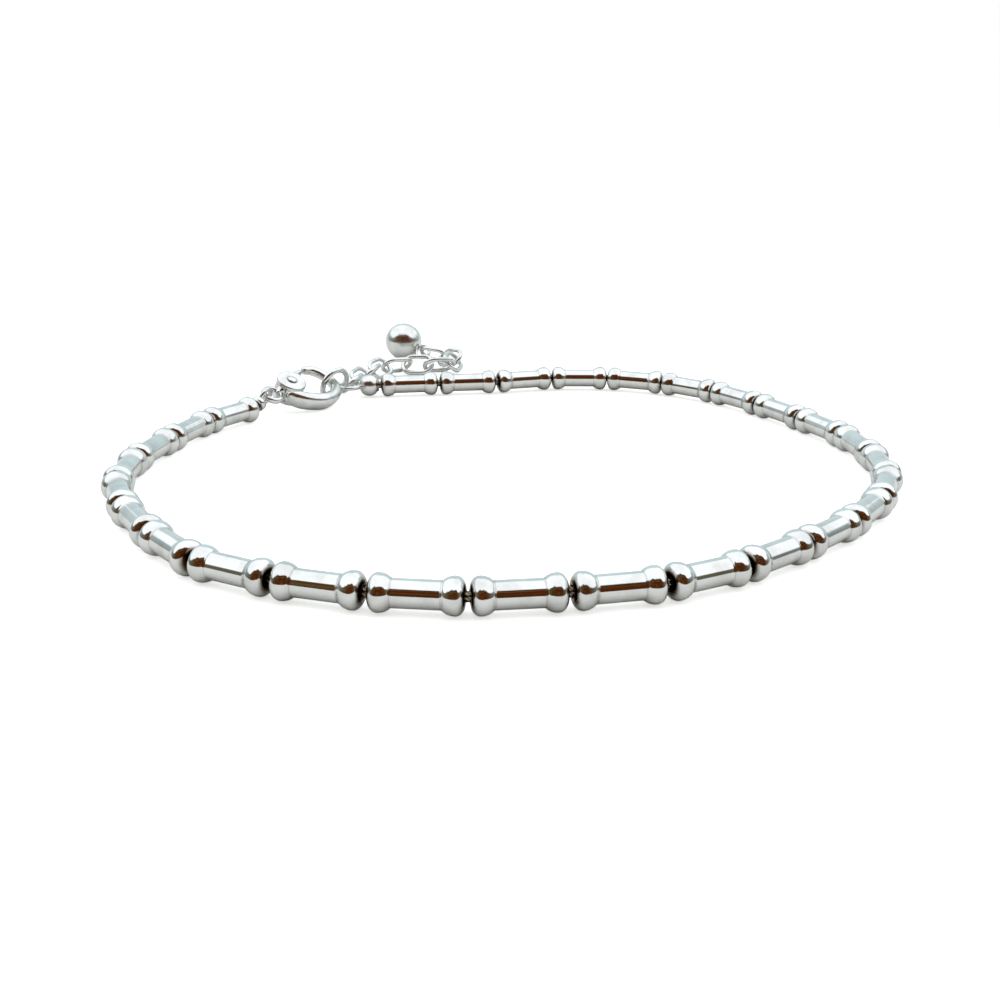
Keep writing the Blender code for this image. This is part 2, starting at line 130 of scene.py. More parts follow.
def lightStudio(look):
    # Turn is the angle round from the camera's side as a share of half a turn. The white
    # ceiling starts at an elevation that goes by the turn, roughened by noise. Below it the
    # light goes from a dark room on the camera's side to a pale wall across from it. The camera
    # itself sees plain white.
    world = bpy.data.worlds.new("studioLight")
    bpy.context.scene.world = world
    world.use_nodes = True
    tree = world.node_tree
    tree.nodes.clear()
    way = addNode(tree, "ShaderNodeTexCoord").outputs["Generated"]
    parts = addNode(tree, "ShaderNodeSeparateXYZ", {0: way})
    forwards = addNode(tree, "ShaderNodeMath", {0: parts.outputs["Y"], 1: -1.0}, operation="MULTIPLY")
    around = addNode(tree, "ShaderNodeMath", {0: parts.outputs["X"], 1: forwards.outputs[0]},
                     operation="ARCTAN2")
    aside = addNode(tree, "ShaderNodeMath", {0: around.outputs[0]}, operation="ABSOLUTE")
    turn = addNode(tree, "ShaderNodeMath", {0: aside.outputs[0], 1: math.pi},
                   operation="DIVIDE").outputs[0]
    ragged = addNode(tree, "ShaderNodeTexNoise",
                     {"Vector": way, "Scale": look["noiseScale"], "Detail": 3.0,
                      "Roughness": 0.6}).outputs["Fac"]
    room = addRamp(tree, ragged, look["room"])
    walls = addRamp(tree, turn, look["lowLight"])
    fromRoom = addRamp(tree, turn, [(look["roomEnds"][0], (0, 0, 0)), (look["roomEnds"][1], (1, 1, 1))])
    low = addNode(tree, "ShaderNodeMix", {0: fromRoom, 6: room, 7: walls}, data_type="RGBA").outputs[2]
    height = addNode(tree, "ShaderNodeMath", {0: parts.outputs["Z"]}, operation="ARCSINE").outputs[0]
    edge = addRamp(tree, turn, [(share, (degrees / 90.0,) * 3)
                                for share, degrees in look["ceilingFrom"]])
    above = addNode(tree, "ShaderNodeMath", {0: edge, 1: -0.5 * math.pi, 2: height},
                    operation="MULTIPLY_ADD").outputs[0]
    wobble = addNode(tree, "ShaderNodeMath", {0: ragged, 1: -0.5}, operation="ADD").outputs[0]
    ragging, soft = math.radians(look["ceilingRagged"]), math.radians(look["ceilingSoftness"])
    above = addNode(tree, "ShaderNodeMath", {0: wobble, 1: ragging, 2: above},
                    operation="MULTIPLY_ADD").outputs[0]
    ceiling = addNode(tree, "ShaderNodeMapRange", {"Value": above, "From Min": -soft, "From Max": soft},
                      interpolation_type="SMOOTHSTEP").outputs[0]
    white = (*[c * look["ceilingStrength"] for c in look["ceilingColour"]], 1.0)
    sky = addNode(tree, "ShaderNodeMix", {0: ceiling, 6: low, 7: white}, data_type="RGBA").outputs[2]
    lit = addNode(tree, "ShaderNodeBackground", {"Color": sky})
    seen = addNode(tree, "ShaderNodeBackground", {"Color": (1.0, 1.0, 1.0, 1.0)})
    rays = addNode(tree, "ShaderNodeLightPath")
    pick = addNode(tree, "ShaderNodeMixShader",
                   {0: rays.outputs["Is Camera Ray"], 1: lit.outputs[0], 2: seen.outputs[0]})
    addNode(tree, "ShaderNodeOutputWorld", {"Surface": pick.outputs[0]})
    bpy.context.scene.view_settings.view_transform = "Standard"


placeCamera(cameraView)
lightStudio(studio)
print("camera and light ready")


def ringShell(points, latheCoord, shadeTone, closedAlong=False, poles=()):
    # A grid of points, stations along by places around, joined into quads. Open ends may be
    # closed by a fan of triangles to a pole at each end.
    rows, around = points.shape[:2]
    stations = np.arange(rows if closedAlong else rows - 1)[:, None]
    places = np.arange(around)[None, :]
    nextStation, nextPlace = (stations + 1) % rows, (places + 1) % around
    quads = np.stack([stations * around + places, stations * around + nextPlace,
                      nextStation * around + nextPlace, nextStation * around + places], -1)
    verts = points.reshape(-1, 3)
    coords = latheCoord.reshape(-1, 3)
    shadeTones = np.broadcast_to(shadeTone, (rows, around)).reshape(-1)
    tris = np.empty((0, 3), int)
    if len(poles):
        ids = np.arange(around)
        after = (ids + 1) % around
        first, last = len(verts), len(verts) + 1
        top = (rows - 1) * around
        tris = np.concatenate([np.stack([np.full(around, first), after, ids], 1),
                               np.stack([np.full(around, last), top + ids, top + after], 1)])
        verts = np.concatenate([verts, np.array(poles)])
        coords = np.concatenate([coords, coords[:1] * 0.0, coords[-1:] * 0.0])
        shadeTones = np.concatenate([shadeTones, shadeTones[:1], shadeTones[-1:]])
    return dict(verts=verts, coords=coords, shadeTones=shadeTones, quads=quads.reshape(-1, 4), tris=tris)


def makeMesh(name, shells):
    # One mesh from several closed shells, with their lathe coordinates and their painted shade tones as
    # attributes.
    offsets = np.cumsum([0] + [len(shell["verts"]) for shell in shells])
    verts = np.concatenate([shell["verts"] for shell in shells])
    quads = np.concatenate([shell["quads"] + offset for shell, offset in zip(shells, offsets)])
    tris = np.concatenate([shell["tris"] + offset for shell, offset in zip(shells, offsets)])
    corners = np.concatenate([quads.ravel(), tris.ravel()]).astype(np.int32)
    starts = np.concatenate([np.arange(len(quads)) * 4, len(quads) * 4 + np.arange(len(tris)) * 3])
    mesh = bpy.data.meshes.new(name)
    mesh.vertices.add(len(verts))
    mesh.vertices.foreach_set("co", verts.astype(np.float32).ravel())
    mesh.loops.add(len(corners))
    mesh.loops.foreach_set("vertex_index", corners)
    mesh.polygons.add(len(starts))
    mesh.polygons.foreach_set("loop_start", starts.astype(np.int32))
    mesh.update(calc_edges=True)
    coords = np.concatenate([shell["coords"] for shell in shells])
    shadeTones = np.concatenate([shell["shadeTones"] for shell in shells])
    lathe = mesh.attributes.new("latheCoord", "FLOAT_VECTOR", "POINT")
    lathe.data.foreach_set("vector", coords.astype(np.float32).ravel())
    shade = mesh.attributes.new("shadeTone", "FLOAT", "POINT")
    shade.data.foreach_set("value", shadeTones.astype(np.float32))
    mesh.shade_smooth()
    return mesh


def makePiece(name, shells, material, node, body="bracelet"):
    # The finished piece takes its solid's place and rides on the solid's body.
    mesh = makeMesh(name, shells)
    mesh.materials.append(material)
    piece = bpy.data.objects.new(name, mesh)
    bpy.context.scene.collection.objects.link(piece)
    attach(piece, body)
    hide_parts(node)
    return piece


def turnedShell(profile, shadeTone, centre, axis, side, around, closedAlong=False, poles=()):
    # Distance along an axis and radius from it, carried round the axis:
    # centre + along times axis + radius times (cosine times side + sine times the third way).
    axis, side = np.array(axis, float), np.array(side, float)
    third = np.cross(axis, side)
    angle = np.linspace(0.0, 2 * np.pi, around, endpoint=False)
    along, radius = profile[:, 0], profile[:, 1]
    ring = np.cos(angle)[:, None] * side + np.sin(angle)[:, None] * third
    points = (np.array(centre) + along[:, None, None] * axis
              + radius[:, None, None] * ring[None, :, :])
    coords = np.stack(np.broadcast_arrays(np.cos(angle)[None, :], np.sin(angle)[None, :],
                                          along[:, None] / mm), -1)
    ends = [np.array(centre) + reach * axis for reach in poles]
    return ringShell(points, coords, np.asarray(shadeTone)[:, None], closedAlong, ends)


def sweptShell(path, wide, thick, normal, around, closed=False, power=2.0, shadeTone=1.0):
    # An oval section carried along a path: path + wide times cosine times the sideways way
    # + thick times sine times the upright way, both at right angles to the path. A power over
    # two squares the oval. Open ends are rounded by stations that close like half an ellipse.
    path = np.array(path, float)
    wide = np.broadcast_to(wide, len(path)).astype(float)
    thick = np.broadcast_to(thick, len(path)).astype(float)
    if closed:
        tangent = np.roll(path, -1, 0) - np.roll(path, 1, 0)
    else:
        tangent = np.gradient(path, axis=0)
    tangent /= np.linalg.norm(tangent, axis=1, keepdims=True)
    poles = ()
    if not closed:
        turn = np.linspace(0.0, 0.5 * np.pi, 7)[:-1][::-1]
        reach, shrink = np.sin(turn)[:, None], np.cos(turn)
        cap = min(wide[0], thick[0]), min(wide[-1], thick[-1])
        poles = path[0] - cap[0] * tangent[0], path[-1] + cap[1] * tangent[-1]
        before = path[0] - cap[0] * reach * tangent[0]
        after = (path[-1] + cap[1] * reach * tangent[-1])[::-1]
        path = np.concatenate([before[:-1], path, after[1:]])
        wide = np.concatenate([(wide[0] * shrink)[:-1], wide, (wide[-1] * shrink)[::-1][1:]])
        thick = np.concatenate([(thick[0] * shrink)[:-1], thick, (thick[-1] * shrink)[::-1][1:]])
        count = len(turn) - 1
        tangent = np.concatenate([np.repeat(tangent[:1], count, 0), tangent,
                                  np.repeat(tangent[-1:], count, 0)])
    sideways = np.cross(np.array(normal, float), tangent)
    sideways /= np.linalg.norm(sideways, axis=1, keepdims=True)
    upright = np.cross(tangent, sideways)
    angle = np.linspace(0.0, 2 * np.pi, around, endpoint=False)
    c, s = np.cos(angle), np.sin(angle)
    shape = 2.0 / power
    c, s = np.sign(c) * np.abs(c) ** shape, np.sign(s) * np.abs(s) ** shape
    points = (path[:, None, :] + (wide[:, None] * c)[..., None] * sideways[:, None, :]
              + (thick[:, None] * s)[..., None] * upright[:, None, :])
    steps = np.linalg.norm(np.diff(path, axis=0, prepend=path[:1]), axis=1)
    coords = np.stack(np.broadcast_arrays(np.cos(angle)[None, :], np.sin(angle)[None, :],
                                          (np.cumsum(steps) / mm)[:, None]), -1)
    return ringShell(points, coords, np.full((len(path), 1), shadeTone), closed, poles)


def smoothPath(knots, perSpan):
    # Catmull-Rom: between two knots the path is a cubic that uses their neighbours as well.
    knots = np.array(knots, float)
    padded = np.concatenate([[2 * knots[0] - knots[1]], knots, [2 * knots[-1] - knots[-2]]])
    a, b, c, d = (padded[i:len(knots) - 1 + i, None, :] for i in range(4))
    t = (np.arange(perSpan) / perSpan)[None, :, None]
    path = 0.5 * (2 * b + (c - a) * t + (2 * a - 5 * b + 4 * c - d) * t ** 2
                  + (3 * b - a - 3 * c + d) * t ** 3)
    return np.concatenate([path.reshape(-1, knots.shape[1]), knots[-1:]])


def cadPoints(node):
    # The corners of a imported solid, each once, in metres.
    mesh = frame["nodes"][node].data
    points = np.empty(len(mesh.vertices) * 3)
    mesh.vertices.foreach_get("co", points)
    return np.unique(points.reshape(-1, 3).round(7), axis=0)


def mainWays(points):
    # Centre of a node's box along its own three main ways, the longest way first.
    middle = points.mean(0)
    ways = np.linalg.svd(points - middle, full_matrices=False)[2]
    spread = (points - middle) @ ways.T
    return middle + 0.5 * (spread.max(0) + spread.min(0)) @ ways, ways


silverLook = dict(
    bright=(0.76, 0.775, 0.755),       # clouds go between the bright and the soft colour
    soft=(0.69, 0.705, 0.68),
    darkTarnishAndShade=(0.12, 0.07, 0.03),        # random tarnish, and painted shade in creases and in the gaps between beads
    cloudSize=1.6,                     # mm
    roughness=(0.055, 0.13),           # lowest and highest
    latheLines=9.0,                    # per mm
    lineDepth=0.00045,                 # mm
    dentDepth=0.004,                   # mm, slow waviness of a polished surface
)

castLook = dict(
    silverLook,
    roughness=(0.16, 0.27),
    cloudSize=1.1,
    lineDepth=0.0008,
    dentDepth=0.006,
)

# The wire's colours are painted shade: dark to stand in for the shade in the gaps between beads, where
# the wire shows.
wireShadeLook = dict(
    bright=(0.44, 0.38, 0.29),
    soft=(0.26, 0.20, 0.13),
    darkTarnishAndShade=(0.018, 0.012, 0.007),
    cloudSize=0.5,
    roughness=(0.16, 0.30),
    latheLines=5.0,
    lineDepth=0.002,
    dentDepth=0.002,
)


def makeMetal(name, look):
    # Colour: clouds between a bright and a softer tone. The dark colour is mixed in by the clouds as
    # random tarnish, and by the piece's painted shade attribute in creases, gaps and hollows. Roughness
    # and fine bump: noise drawn out round the piece, like lathe marks, over a slow bump in Object
    # coordinates.
    material = bpy.data.materials.new(name)
    material.use_nodes = True
    tree = material.node_tree
    tree.nodes.clear()
    place = addNode(tree, "ShaderNodeTexCoord").outputs["Object"]
    clouds = addNode(tree, "ShaderNodeTexNoise",
                     {"Vector": place, "Scale": 1.0 / (look["cloudSize"] * mm), "Detail": 4.0,
                      "Roughness": 0.55})
    metal = addRamp(tree, clouds.outputs["Fac"], [(0.36, look["soft"]), (0.62, look["bright"])])
    shadeTone = addNode(tree, "ShaderNodeAttribute", attribute_name="shadeTone").outputs["Fac"]
    worn = addNode(tree, "ShaderNodeMath", {0: clouds.outputs["Fac"], 1: -0.5}, operation="ADD")
    tarnishAndShadeShare = addNode(tree, "ShaderNodeMath", {0: worn.outputs[0], 1: 0.5, 2: shadeTone},
                     operation="MULTIPLY_ADD", use_clamp=True)
    colour = addNode(tree, "ShaderNodeMix",
                     {0: tarnishAndShadeShare.outputs[0], 6: (*look["darkTarnishAndShade"], 1.0), 7: metal}, data_type="RGBA")
    lathe = addNode(tree, "ShaderNodeAttribute", attribute_name="latheCoord").outputs["Vector"]
    drawn = addNode(tree, "ShaderNodeMapping",
                    {"Vector": lathe, "Scale": (0.7, 0.7, look["latheLines"])})
    lines = addNode(tree, "ShaderNodeTexNoise",
                    {"Vector": drawn.outputs[0], "Scale": 1.0, "Detail": 3.0})
    rough = addNode(tree, "ShaderNodeMapRange",
                    {"Value": lines.outputs["Fac"], "From Min": 0.3, "From Max": 0.7,
                     "To Min": look["roughness"][0], "To Max": look["roughness"][1]})
    slow = addNode(tree, "ShaderNodeTexNoise",
                   {"Vector": place, "Scale": 0.8 / (look["cloudSize"] * mm), "Detail": 1.0})
    wavy = addNode(tree, "ShaderNodeBump", {"Height": slow.outputs["Fac"], "Strength": 1.0,
                                            "Distance": look["dentDepth"] * mm})
    bump = addNode(tree, "ShaderNodeBump", {"Height": lines.outputs["Fac"], "Strength": 1.0,
                                            "Distance": look["lineDepth"] * mm,
                                            "Normal": wavy.outputs[0]})
    shader = addNode(tree, "ShaderNodeBsdfPrincipled",
                     {"Base Color": colour.outputs[2], "Metallic": 1.0,
                      "Roughness": rough.outputs["Result"], "Normal": bump.outputs[0]})
    addNode(tree, "ShaderNodeOutputMaterial", {"Surface": shader.outputs[0]})
    return material


silver = makeMetal("polishedSilver", silverLook)
castSilver = makeMetal("castSilver", castLook)
shadeDarkWireMetal = makeMetal("stringingWirePaintedDark", wireShadeLook)


bead = dict(
    count=28,
    length=6.06,                       # mm, as all that follows
    pitch=6.3,                         # from the middle of one gap to the next
    tubeRadius=0.94,
    collarRadius=1.2557,
    collarWidth=1.42,
    crest=0.63,                        # from the face to where the collar is widest
    faceRadius=0.47,
    boreRadius=0.44,
    boreEase=0.03,                     # depth of the bore's eased mouth
    stepHeight=0.018,                  # fine turned step between collar and tube
    stepWidth=0.05,
    creaseShadeDepth=0.30,                   # how dark the painted shade along the step is
    creaseShadeWidth=0.04,
    gapShadeFrom=1.02,                   # painted shade on the faces in the gap between beads, from none at this radius
    gapShadeTo=0.72,                     # to full at this one
    around=48,
)


def beadProfile(size):
    # Outer half: a quarter oval from the face up to the collar's crest, from there down to a
    # fine step as one less the share squared, to the power 0.8, then the straight tube. It is
    # mirrored, and the bore closes it.
    end, crest, width = 0.5 * size["length"], size["crest"], size["collarWidth"]
    turn = np.linspace(0.0, 0.5 * np.pi, 11)
    rise = size["collarRadius"] - size["faceRadius"]
    outer = np.stack([end - crest * (1 - np.cos(turn)), size["faceRadius"] + rise * np.sin(turn)], 1)
    foot = size["tubeRadius"] + size["stepHeight"]
    share = np.linspace(0.0, 1.0, 15)[1:]
    inner = np.stack([end - crest - (width - crest) * share,
                      foot + (size["collarRadius"] - foot) * (1 - share ** 2) ** 0.8], 1)
    stepEnd = end - width - size["stepWidth"]
    step = np.array([[stepEnd + 0.02, foot], [stepEnd, foot - 0.006],     # its edge slightly broken
                     [stepEnd - 0.008, size["tubeRadius"]]])
    tube = np.stack([np.linspace(stepEnd - 0.1, 0.0, 8), np.full(8, size["tubeRadius"])], 1)
    halfProfile = np.concatenate([outer, inner, step, tube])
    mirrored = halfProfile[::-1][1:] * (-1.0, 1.0)
    lip = 0.5 * (size["faceRadius"] + size["boreRadius"])
    inside = end - size["boreEase"]
    bore = np.array([[-end, lip], [-inside, size["boreRadius"]], [inside, size["boreRadius"]],
                     [end, lip]])
    profile = np.concatenate([halfProfile, mirrored, bore])[::-1]
    along, radius = np.abs(profile[:, 0]), profile[:, 1]
    # Painted shade: a narrow dark band along the step, and the faces darkening towards the bore, where
    # the gap between beads lies in shade.
    paintedCreaseShade = size["creaseShadeDepth"] * np.exp(-((along - stepEnd) / size["creaseShadeWidth"]) ** 2)
    gapShadeShare = (size["gapShadeFrom"] - radius) / (size["gapShadeFrom"] - size["gapShadeTo"])
    paintedGapShade = np.clip(gapShadeShare, 0.0, 1.0) * (along > end - crest)
    shadeTone = 1.0 - np.clip(paintedCreaseShade + paintedGapShade, 0.0, 1.0)
    return profile * mm, shadeTone


def makeBeads():
    # Each bead lies level on its solid's own axis. Returns the middles of the gaps, in order.
    profile, shadeTone = beadProfile(bead)
    halfPitch = 0.5 * bead["pitch"] * mm
    joints = []
    for number in range(1, bead["count"] + 1):
        name = f"bead_{number:02d}"
        centre, beadWays = mainWays(cadPoints(name))
        axis = beadWays[0] * (1, 1, 0)
        axis /= np.linalg.norm(axis)
        if joints and np.dot(centre - joints[-1], axis) < 0:
            axis = -axis
        elif not joints and axis[0] < 0:
            axis = -axis
        centre[2] = bead["collarRadius"] * mm
        shell = turnedShell(profile, shadeTone, centre, axis, np.cross(upward, axis), bead["around"],
                            closedAlong=True)
        makePiece(f"boneBead{number:02d}", [shell], silver, name)
        if not joints:
            joints.append(centre - axis * halfPitch)
        joints.append(centre + axis * halfPitch)
    return np.array(joints)


stringJoints = makeBeads()
print(bead["count"], "bone beads turned")


clasp = dict(
    heading=50.3,                      # degrees in plan
    tilt=30.0,                         # degrees, far side raised
    eyeRadius=0.90,                    # mm, as all that follows
    eyeWire=0.30,
    headRadius=1.50,
    headThickness=2.30,
    slot=1.38,                         # between the head's two cheeks
    cheekEdge=0.22,                    # rounding of the cheeks' outer edge
    cheekInnerEdge=0.05,
    wallRadius=1.17,                   # the back wall's middle, from the rivet
    wallHalf=(0.27, 0.92),
    wallTurn=(128.0, 296.0),           # degrees about the rivet
    rivetSide=0.376,                   # from the clasp's middle line
    rivetHole=0.36,
    around=32,
    # Knots: along the clasp, across it, half width and half thickness of the rod
    neck=((0.72, 0.05, 0.30, 0.44), (0.96, 0.12, 0.48, 0.62), (1.20, 0.16, 0.58, 0.8)),
    hook=(
        (1.75, -0.80, 0.60, 0.88), (2.35, -1.38, 0.71, 0.94), (3.33, -1.95, 0.76, 0.93),
        (4.84, -2.33, 0.75, 0.87), (6.47, -1.95, 0.65, 0.71), (7.52, -1.03, 0.56, 0.58),
        (7.80, 0.12, 0.54, 0.55), (7.50, 1.22, 0.53, 0.53), (6.71, 2.11, 0.49, 0.51),
        (6.00, 2.33, 0.43, 0.46),
    ),
)

lever = dict(
    barrelRadius=0.56,                 # mm, as all that follows
    barrelPlay=0.12,                   # beside the barrel, in the slot
    barrelEdge=0.08,
    rivetRadius=0.25,
    rivetHead=0.46,
    rivetDome=0.16,
    rivetStand=0.03,                   # of the rivet's head off the cheek
    arm=(
        (0.05, 0.08, 0.36, 0.50), (0.60, 0.68, 0.37, 0.50), (1.14, 1.08, 0.33, 0.47),
        (1.97, 1.58, 0.30, 0.44), (2.78, 1.80, 0.25, 0.38),
    ),                                 # knots as the clasp's, from the rivet
    tab=((0.62, 0.90, 0.20, 0.46), (0.80, 1.24, 0.19, 0.46), (1.18, 1.58, 0.15, 0.42)),
)


def waysOfClasp(size):
    # The clasp's own three ways: along its heading, across it and raised, and square to both.
    turn, tip = math.radians(size["heading"]), math.radians(size["tilt"])
    along = np.array([math.cos(turn), math.sin(turn), 0.0])
    level = np.array([-math.sin(turn), math.cos(turn), 0.0])
    across = math.cos(tip) * level + math.sin(tip) * upward
    return np.stack([along, across, np.cross(along, across)])


claspWays = waysOfClasp(clasp)
rivet = np.array(frame["joints"][0]["pos_m"], float)
eyeToRivet = np.array([clasp["eyeRadius"] + clasp["headRadius"], clasp["rivetSide"], 0.0])
eyeCentre = rivet - mm * eyeToRivet @ claspWays


def rodShell(knots, origin, perSpan=8, power=2.2):
    # A smooth path through the knots in the clasp's plane, with the knots' oval carried along it.
    route = smoothPath(knots, perSpan) * mm
    path = origin + route[:, :2] @ claspWays[:2]
    return sweptShell(path, route[:, 2], route[:, 3], claspWays[2], clasp["around"], power=power)


def ringPath(centre, first, second, radius, count=64):
    # Centre + radius times (cosine times the first way + sine times the second).
    angle = np.linspace(0.0, 2 * np.pi, count, endpoint=False)[:, None]
    return centre + radius * (np.cos(angle) * first + np.sin(angle) * second)


def cheekShell(side):
    # One cheek of the head: a washer with quarter-round edges turned about the rivet's line.
    inner, outer = 0.5 * clasp["slot"], 0.5 * clasp["headThickness"]
    radius, hole = clasp["headRadius"], clasp["rivetHole"]
    soft, crisp = clasp["cheekEdge"], clasp["cheekInnerEdge"]
    turn = np.linspace(0.0, 0.5 * np.pi, 7)
    back = turn[::-1]
    rim = np.stack([outer - soft * (1 - np.cos(turn)), radius - soft + soft * np.sin(turn)], 1)
    low = np.stack([inner + crisp * (1 - np.cos(back)), radius - crisp + crisp * np.sin(back)], 1)
    dish = np.stack([np.full(4, outer), np.linspace(hole + 0.06, radius - soft - 0.1, 4)], 1)
    profile = np.concatenate([[[inner, hole], [outer - 0.05, hole]], dish, rim, low,
                              [[inner, radius - 0.4]]])[::-1] * mm
    # Painted shade: the cheek darkens towards the rivet hole.
    shadeTone = np.clip((profile[:, 1] / mm - hole) / 0.2, 0.25, 1.0)
    axis = side * claspWays[2]
    return turnedShell(profile, shadeTone, rivet, axis, claspWays[0], 48, closedAlong=True)


def wallShell():
    # The head's back wall: a squared rod bent about the rivet between the two cheeks.
    angle = np.radians(np.linspace(*clasp["wallTurn"], 28))[:, None]
    path = rivet + clasp["wallRadius"] * mm * (np.cos(angle) * claspWays[0]
                                               + np.sin(angle) * claspWays[1])
    halfWidth, halfHeight = (half * mm for half in clasp["wallHalf"])
    return sweptShell(path, halfWidth, halfHeight, claspWays[2], 24, power=3.2)


def makeClasp():
    # A ring for the eye, smooth rods for the neck and the hook, and the head about the rivet.
    eye = sweptShell(ringPath(eyeCentre, claspWays[0], claspWays[1], clasp["eyeRadius"] * mm),
                     clasp["eyeWire"] * mm, clasp["eyeWire"] * 1.1 * mm, claspWays[2], 20,
                     closed=True)
    shells = [eye, rodShell(clasp["hook"], eyeCentre), rodShell(clasp["neck"], eyeCentre),
              cheekShell(1.0), cheekShell(-1.0), wallShell()]
    makePiece("lobsterClasp", shells, castSilver, "clasp")


def makeLever():
    # Smooth rods for the arm and the thumb tab. The barrel in the slot has quarter-round edges and
    # the rivet has a quarter oval at each end, both turned about the rivet's line.
    half = 0.5 * clasp["slot"] - lever["barrelPlay"]
    radius, edge = lever["barrelRadius"], lever["barrelEdge"]
    turn = np.linspace(0.0, 0.5 * np.pi, 5)
    barrelEnd = np.stack([half - edge * (1 - np.cos(turn)), radius - edge + edge * np.sin(turn)], 1)
    barrel = np.concatenate([barrelEnd * (-1, 1), barrelEnd[::-1]])
    barrel = np.concatenate([[[-half, 0.2]], barrel, [[half, 0.2]]]) * mm
    outer = 0.5 * clasp["headThickness"] + lever["rivetStand"]
    tip = outer + lever["rivetDome"]
    dome = np.stack([outer + (tip - outer) * np.sin(turn), lever["rivetHead"] * np.cos(turn)], 1)[:-1]
    shank = [[-outer, 0.3], [-outer, lever["rivetRadius"]], [outer, lever["rivetRadius"]], [outer, 0.3]]
    pin = np.concatenate([(dome * (-1, 1))[::-1], shank, dome]) * mm
    shells = [rodShell(lever["arm"], rivet, power=2.6), rodShell(lever["tab"], rivet, power=2.6),
              turnedShell(barrel, np.ones(len(barrel)), rivet, claspWays[2], claspWays[0], 32,
                          poles=(-half * mm, half * mm)),
              turnedShell(pin, np.ones(len(pin)), rivet, claspWays[2], claspWays[0], 24,
                          poles=(-tip * mm, tip * mm))]
    makePiece("claspLever", shells, castSilver, "clasp_lever", body="lever")


makeClasp()
makeLever()
print("clasp and lever shaped")


endCap = dict(
    gap=0.15,                          # mm, from the string's end
    radius=1.14,
    length=2.0,
    roundness=0.7,                     # power of the cosine in its outline
    rim=0.70,                          # least radius beside the bore
    bore=0.42,
    boreDepth=0.42,
    loopRadius=1.30,
    loopWire=0.225,
    loopSunk=0.12,                     # how far the loop is sunk into the barrel
)

endCrimp = dict(
    endCap,
    gap=0.40,
    radius=0.77,
    length=0.75,
    roundness=0.3,
    loopRadius=0.82,
)

endRing = dict(radius=1.60, wire=0.30)   # mm

stringWire = dict(
    radius=0.37,                       # mm
    strands=7,
    lay=2.2,                           # mm along the wire for one turn of the strands
    ridge=0.20,                        # depth of the furrows, as a share of the radius
    depth=0.17,                        # mm that its ends go into the fittings
    station=0.11,                      # mm between rings of the mesh
    around=42,
)


def fittingShells(size, joint, outward, loopSide):
    # A barrel: along goes as the sine and radius as a power of the cosine, with a blind bore at
    # the string's end. A round wire loop is set on its other end.
    half = 0.5 * size["length"]
    turn = np.linspace(-0.5 * np.pi, 0.5 * np.pi, 25)[1:-1]
    outline = size["radius"] * np.cos(turn) ** size["roundness"]
    radius = np.maximum(outline, np.where(turn < 0, size["rim"], 0.0))
    profile = np.stack([half * np.sin(turn), radius], 1)
    floorAt = size["boreDepth"] - half
    bore = [[floorAt, size["bore"]], [0.04 - half, size["bore"]], [-half, size["bore"] + 0.05]]
    profile = np.concatenate([bore, profile]) * mm
    centre = joint + outward * (size["gap"] + half) * mm
    across = loopSide - np.dot(loopSide, outward) * outward
    across /= np.linalg.norm(across)
    # Painted shade: the barrel darkens towards its bored end, beside the beads.
    shadeTone = np.clip((profile[:, 0] / mm + half) / (0.25 * half), 0.2, 1.0)
    barrel = turnedShell(profile, shadeTone, centre, outward, across, 40,
                         poles=(floorAt * mm, half * mm))
    loopReach = size["gap"] + size["length"] + size["loopRadius"] - size["loopSunk"]
    path = ringPath(joint + outward * loopReach * mm, outward, across, size["loopRadius"] * mm, 48)
    wire = size["loopWire"] * mm
    loop = sweptShell(path, wire, wire, np.cross(outward, across), 16, closed=True)
    return [barrel, loop]


def makeWire(joints, capOut, crimpOut):
    # Strands laid round a core that follows the gaps' middles: the radius rises with the size of
    # the cosine of half the number of strands times an angle. That is the angle round the wire,
    # less what the lay has turned so far along it.
    capReach, crimpReach = (mm * (size["gap"] + stringWire["depth"]) for size in (endCap, endCrimp))
    knots = np.concatenate([[joints[0] + capReach * capOut], joints,
                            [joints[-1] + crimpReach * crimpOut]])
    steps = np.linalg.norm(np.diff(knots, axis=0), axis=1)
    reach = np.concatenate([[0.0], np.cumsum(steps)])
    at = np.arange(0.0, reach[-1], stringWire["station"] * mm)
    path = np.stack([np.interp(at, reach, knots[:, k]) for k in range(3)], 1)
    tangent = np.gradient(path, axis=0)
    tangent /= np.linalg.norm(tangent, axis=1, keepdims=True)
    sideways = np.cross(upward, tangent)
    sideways /= np.linalg.norm(sideways, axis=1, keepdims=True)
    upright = np.cross(tangent, sideways)
    angle = np.linspace(0.0, 2 * np.pi, stringWire["around"], endpoint=False)
    lay = 2 * np.pi * at[:, None] / (stringWire["lay"] * mm)
    ripple = np.abs(np.cos(0.5 * stringWire["strands"] * (angle[None, :] - lay)))
    radius = stringWire["radius"] * mm * (1 - stringWire["ridge"] + stringWire["ridge"] * ripple)
    points = (path[:, None, :] + (radius * np.cos(angle))[..., None] * sideways[:, None, :]
              + (radius * np.sin(angle))[..., None] * upright[:, None, :])
    coords = np.stack(np.broadcast_arrays(np.cos(angle)[None, :], np.sin(angle)[None, :],
                                          at[:, None] / mm), -1)
    # Painted shade: the furrows between strands are darkened, and the strands' crests keep the wire's
    # colour.
    shell = ringShell(points, coords, ripple ** 2, poles=(path[0], path[-1]))
    makePiece("stringWire", [shell], shadeDarkWireMetal, "string_wire")


